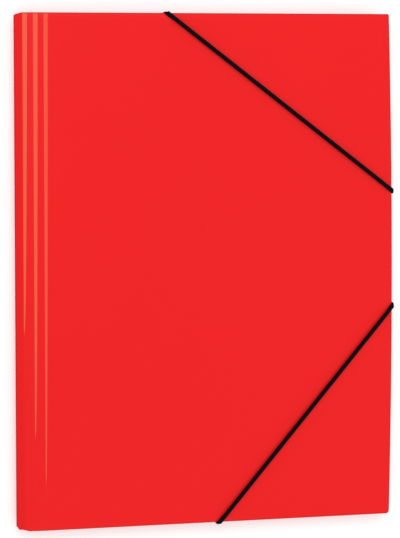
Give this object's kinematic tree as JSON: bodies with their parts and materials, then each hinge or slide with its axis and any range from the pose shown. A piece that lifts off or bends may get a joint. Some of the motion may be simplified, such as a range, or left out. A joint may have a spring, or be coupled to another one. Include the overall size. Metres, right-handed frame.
{
  "type": "three flap folder",
  "caption": "Plastic document folder with a creased spine, a hinged front cover, three folded inner flaps and corner elastics that hold it shut.",
  "frame": {"origin": "middle of the folder's plan, on the surface that it lies on", "axes": "+X from the spine to the free edge, +Y up the front cover, +Z out of the front cover"},
  "size_m": [0.2442, 0.3256, 0.0134],
  "materials": {
    "sheet": "satin polypropylene sheet",
    "elastic": "braided cover over a rubber core",
    "clip": "plated sheet steel, crimped"
  },
  "bodies": {
    "back": {"back_cover_and_flaps": "sheet", "elastic_upper": "elastic", "elastic_lower": "elastic", "clip_upper_top": "clip", "clip_upper_side": "clip", "clip_lower_side": "clip", "clip_lower_bottom": "clip"},
    "cover": {"front_cover": "sheet"}
  },
  "joints": [
    {"name": "cover_hinge", "type": "hinge", "parent": "back", "child": "cover", "pos_m": [-0.12265, 0, 0.00577], "axis": [0, -1, 0], "range_deg": [0, 180], "deforming": ["elastic_upper", "elastic_lower"]}
  ]
}
